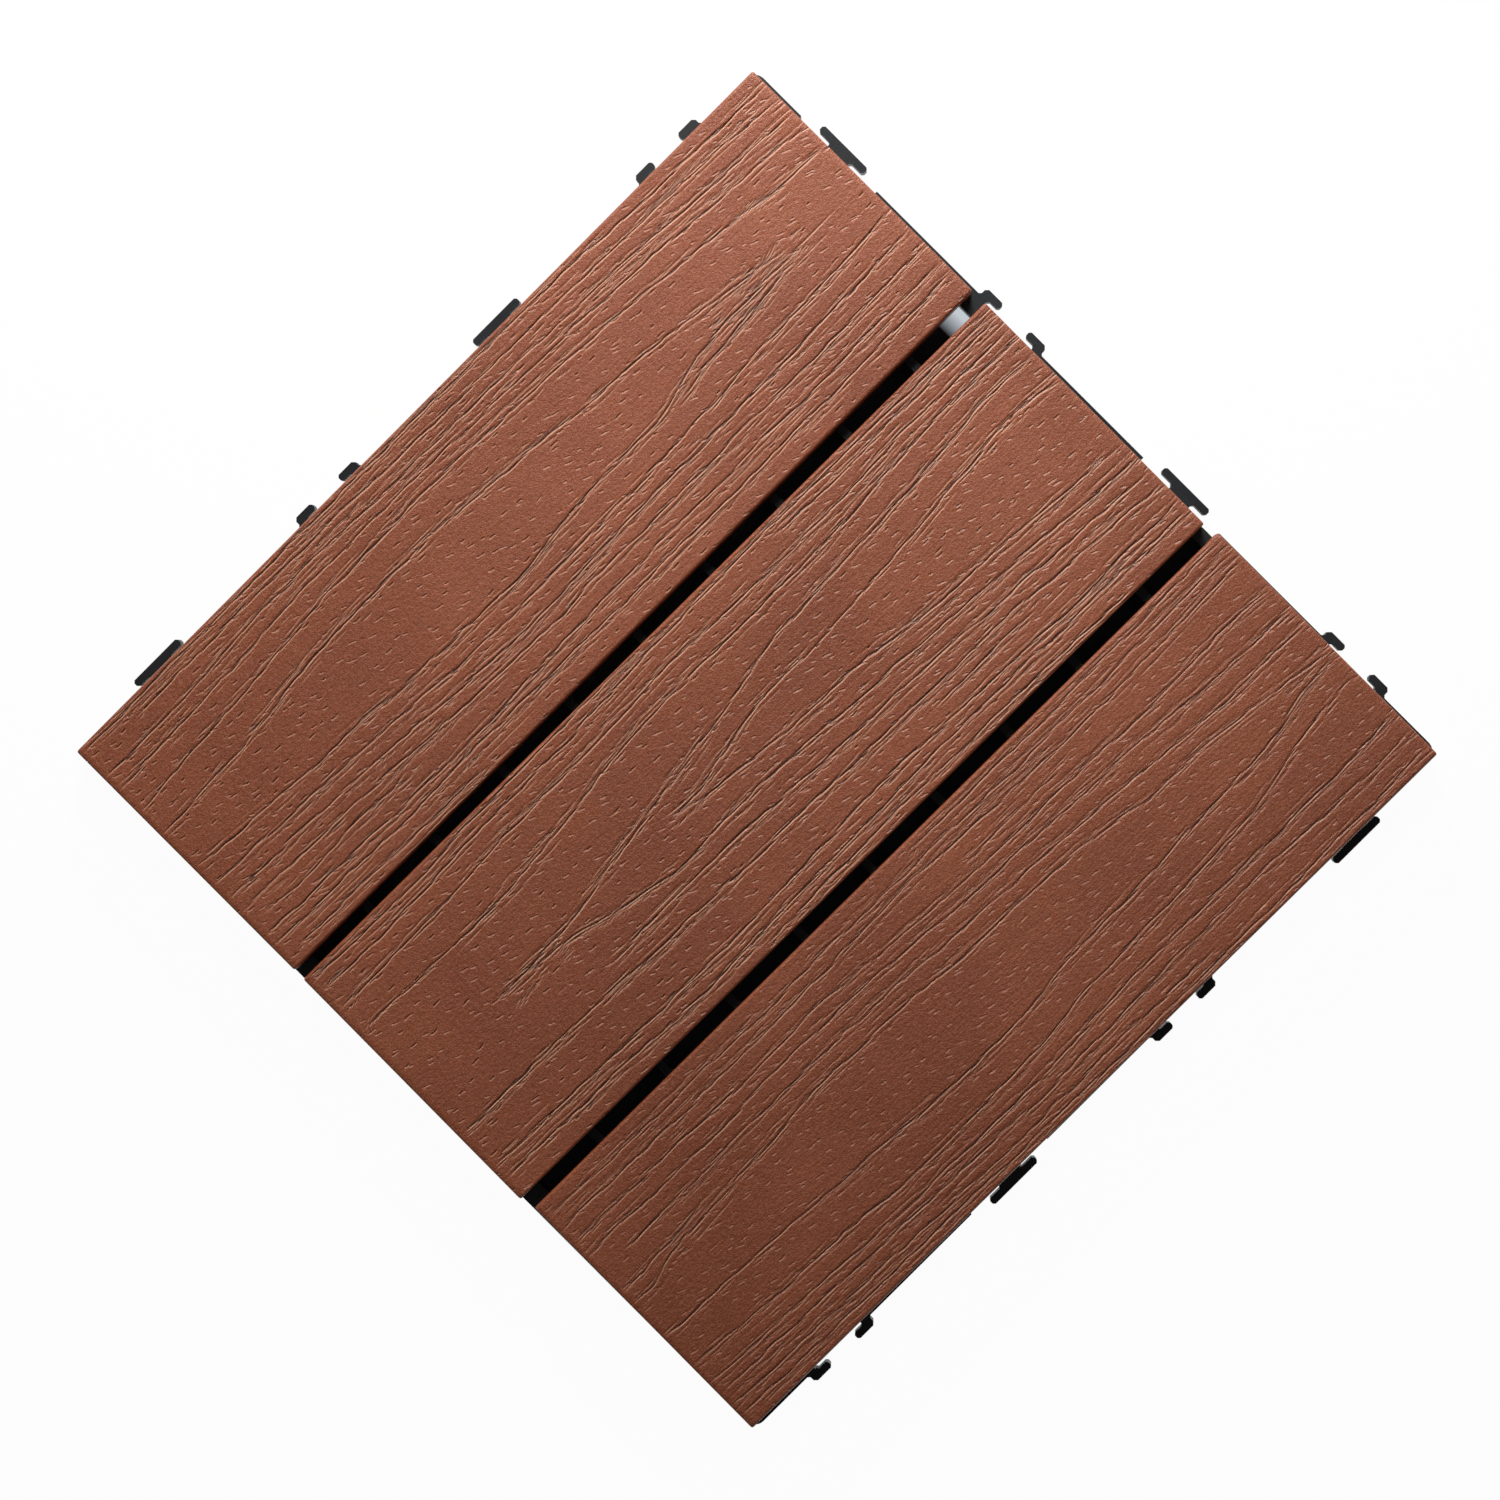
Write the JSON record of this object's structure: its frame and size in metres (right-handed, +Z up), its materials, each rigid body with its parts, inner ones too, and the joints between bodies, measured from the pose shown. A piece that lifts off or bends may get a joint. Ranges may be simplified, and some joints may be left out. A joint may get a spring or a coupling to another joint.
{
  "type": "interlocking deck tile",
  "caption": "Square outdoor floor tile: wood-look composite boards on a black plastic lattice base with tabs and hooks that lock it to the next tile",
  "frame": {"origin": "middle of the underside of the central foot, on the floor that the tile lies on", "axes": "+X along the boards, +Y across them towards board_left, +Z up out of the boards"},
  "size_m": [0.3055, 0.3086, 0.022],
  "materials": {
    "base_plastic": "moulded black polypropylene, fine matte texture",
    "composite_board": "reddish brown wood-plastic composite with deep embossed grain, matte",
    "screw_steel": "plain zinc plated steel"
  },
  "bodies": {
    "root": {"base_grid": "base_plastic", "board_left": "composite_board", "board_middle": "composite_board", "board_right": "composite_board", "board_screws": "screw_steel"}
  },
  "joints": []
}
